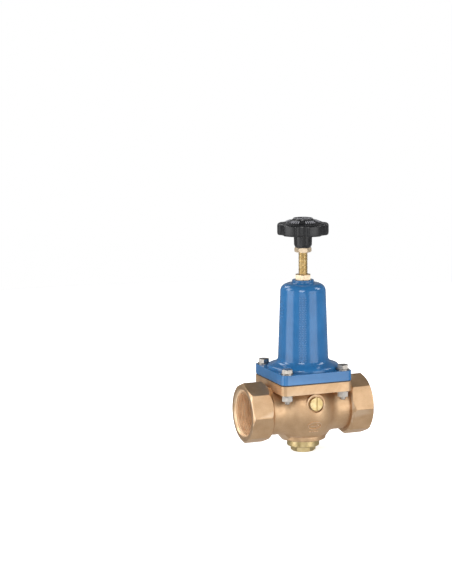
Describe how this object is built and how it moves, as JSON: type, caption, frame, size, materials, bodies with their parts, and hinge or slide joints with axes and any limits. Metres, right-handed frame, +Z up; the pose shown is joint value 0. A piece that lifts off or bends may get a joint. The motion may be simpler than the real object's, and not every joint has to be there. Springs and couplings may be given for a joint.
{
  "type": "pressure reducing valve",
  "caption": "Bronze threaded globe-body pressure reducing valve with a diaphragm, a spring bonnet, an adjusting spindle and a lobed handwheel.",
  "frame": {"origin": "centre of the inlet port where its thread begins, 1.5 mm inside the port's face", "axes": "+X along the pipe from inlet to outlet, +Z up along the valve axis to the handwheel, -Y towards the front gauge plug"},
  "size_m": [0.168, 0.0966, 0.3024],
  "materials": {
    "cast_bronze": "blasted cast bronze",
    "brass": "turned",
    "pale_brass": "turned, bright",
    "blue_paint": "semi-gloss enamel",
    "black_plastic": "moulded, satin",
    "zinc_steel": "zinc plated",
    "stainless": "turned",
    "spring_steel": "oiled",
    "rubber": "matt",
    "fibre_seal": "matt",
    "white_plastic": "machined"
  },
  "bodies": {
    "housing": {"valve_body": "cast_bronze", "seat_ring": "stainless", "gauge_plug_front": "brass", "gauge_plug_rear": "brass", "gauge_seal_front": "fibre_seal", "gauge_seal_rear": "fibre_seal", "bottom_cap": "brass", "bottom_cap_seal": "fibre_seal", "guide_bush": "white_plastic", "closing_spring": "stainless", "diaphragm": "rubber", "flange_bolts": "zinc_steel", "flange_washers": "zinc_steel", "flange_nuts": "zinc_steel", "spring_bonnet": "blue_paint", "bonnet_bush": "brass", "set_spring": "spring_steel"},
    "closure": {"stem": "stainless", "poppet": "brass", "poppet_seal": "rubber", "seal_retainer": "stainless", "poppet_nut": "stainless", "lower_diaphragm_plate": "brass", "upper_diaphragm_plate": "zinc_steel", "stem_washer": "zinc_steel", "stem_nut": "stainless"},
    "spring_follower": {"upper_spring_plate": "zinc_steel", "thrust_ball": "stainless"},
    "spindle": {"adjusting_spindle": "brass", "jam_nut": "pale_brass", "handwheel": "black_plastic", "handwheel_insert": "brass"},
    "lock_nut": {"lock_nut": "pale_brass"}
  },
  "joints": [
    {"name": "handwheel_turn", "type": "hinge", "parent": "spring_follower", "child": "spindle", "pos_m": [0.0825, 0, 0.2], "axis": [0, 0, 1], "range_deg": [-5040, 1080]},
    {"name": "spindle_travel", "type": "slide", "parent": "housing", "child": "spring_follower", "axis": [0, 0, 1], "range_m": [-0.0245, 0.00525], "deforming": ["set_spring"]},
    {"name": "valve_stroke", "type": "slide", "parent": "housing", "child": "closure", "axis": [0, 0, 1], "range_m": [0, 0.005], "stiffness_N_per_m": 200, "springref_m": -0.02, "deforming": ["closing_spring", "diaphragm", "set_spring"]},
    {"name": "lock_nut_turn", "type": "hinge", "parent": "housing", "child": "lock_nut", "pos_m": [0.0825, 0, 0.171], "axis": [0, 0, 1], "range_deg": [0, 30]}
  ],
  "couplings": [
    {"joint": "handwheel_turn", "follows": "spindle_travel", "rad_per_m": 3590.4}
  ]
}
